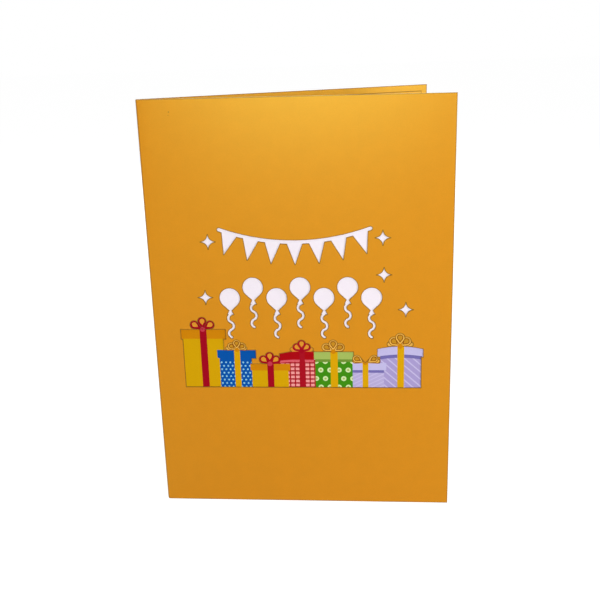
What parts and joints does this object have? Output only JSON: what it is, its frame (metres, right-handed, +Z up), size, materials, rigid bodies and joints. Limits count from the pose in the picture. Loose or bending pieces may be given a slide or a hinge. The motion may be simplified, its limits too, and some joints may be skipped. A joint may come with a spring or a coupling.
{
  "type": "pop-up greeting card",
  "caption": "Folded greeting card standing half open, with a laser-cut front over a printed sheet and a gift box of slotted card that folds flat inside.",
  "frame": {"origin": "bottom centre of the card's bounding box, on the surface it stands on", "axes": "+Z up along the spine, +X from the spine to the free edges along the middle of the opening, front cover on -Y"},
  "size_m": [0.1236, 0.0486, 0.178],
  "materials": {
    "cover_card": "matt orange card stock",
    "print_paper": "smooth white paper with flat printed colours",
    "liner_card": "matt orange card stock",
    "box_card": "matt red card stock",
    "lid_card": "matt dark red card stock",
    "ribbon_card": "matt yellow card stock"
  },
  "bodies": {
    "root": {"cover_sheet": "cover_card", "print_sheet": "print_paper", "liner_sheet": "liner_card", "front_wall": "box_card", "back_wall": "box_card", "front_lid": "lid_card", "back_lid": "lid_card", "lower_lid": "lid_card", "upper_lid": "lid_card", "front_ribbon": "ribbon_card", "back_ribbon": "ribbon_card", "lower_ribbon": "ribbon_card", "upper_ribbon": "ribbon_card", "long_plate": "ribbon_card", "cross_plate_1": "box_card", "cross_plate_2": "box_card", "cross_plate_3": "ribbon_card", "cross_plate_4": "box_card", "cross_plate_5": "box_card"}
  },
  "joints": []
}
